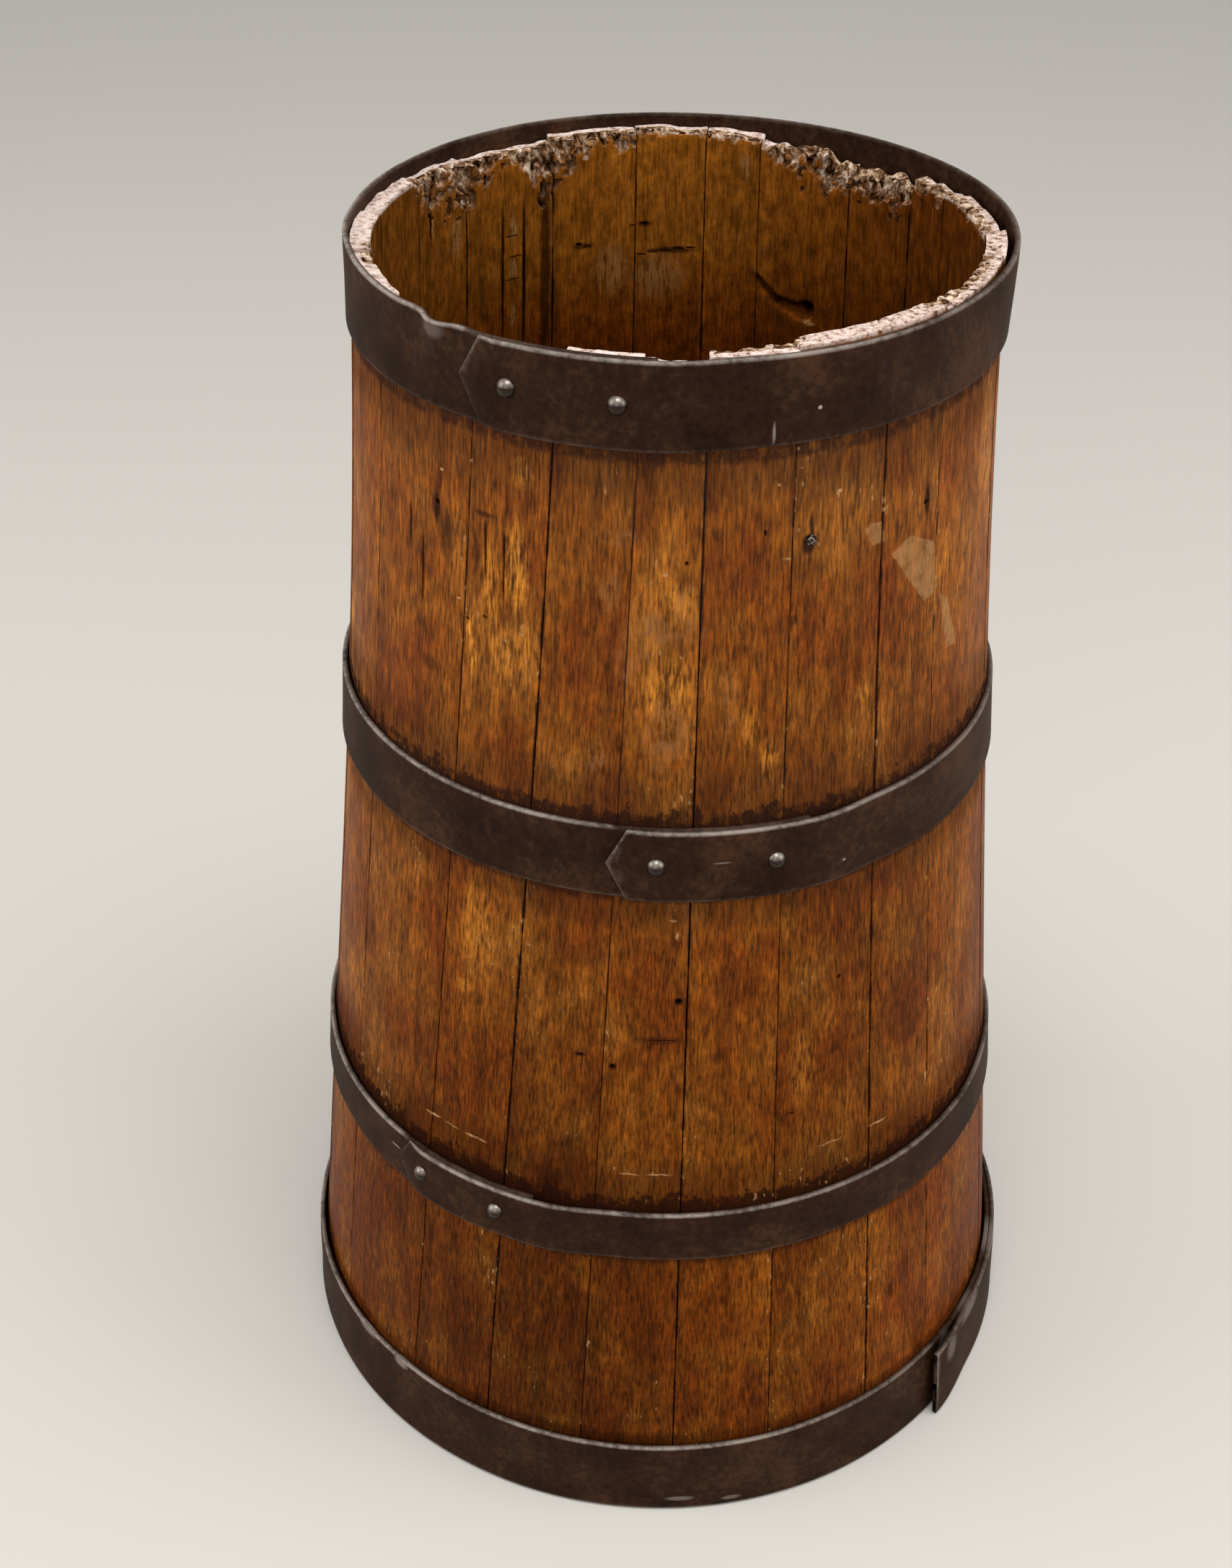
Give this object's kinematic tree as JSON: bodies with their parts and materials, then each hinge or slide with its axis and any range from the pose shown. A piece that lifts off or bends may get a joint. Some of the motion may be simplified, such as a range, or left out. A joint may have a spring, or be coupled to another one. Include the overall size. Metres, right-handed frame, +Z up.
{
  "type": "oak barrel",
  "caption": "Open-topped oak barrel of upright tapered staves held by riveted iron hoops, wider at the foot, with a jointed board head set in a groove near the bottom.",
  "frame": {"origin": "centre of the foot, on the floor the staves stand on", "axes": "+Z up along the barrel's axis, -Y towards the side seen in the picture, +X to its right"},
  "size_m": [0.4323, 0.4293, 0.694],
  "materials": {
    "oak": "worn varnish",
    "hoop_iron": "dark satin, worn edges",
    "rivet_iron": "dark satin, worn domes",
    "head_oak": "bare, stained dark",
    "dowel_wood": "bare",
    "nail_steel": "bright head"
  },
  "bodies": {
    "root": {"stave_01": "oak", "stave_02": "oak", "stave_03": "oak", "stave_04": "oak", "stave_05": "oak", "stave_06": "oak", "stave_07": "oak", "stave_08": "oak", "stave_09": "oak", "stave_10": "oak", "stave_11": "oak", "stave_12": "oak", "stave_13": "oak", "stave_14": "oak", "stave_15": "oak", "stave_16": "oak", "stave_17": "oak", "stave_18": "oak", "stave_19": "oak", "stave_20": "oak", "stave_21": "oak", "hoop_base": "hoop_iron", "hoop_lower": "hoop_iron", "hoop_upper": "hoop_iron", "hoop_top": "hoop_iron", "rivets_base": "rivet_iron", "rivets_lower": "rivet_iron", "rivets_upper": "rivet_iron", "rivets_top": "rivet_iron", "head_board_1": "head_oak", "head_board_2": "head_oak", "head_board_3": "head_oak", "head_board_4": "head_oak", "head_board_5": "head_oak", "head_dowels": "dowel_wood", "stave_nail": "nail_steel"}
  },
  "joints": []
}
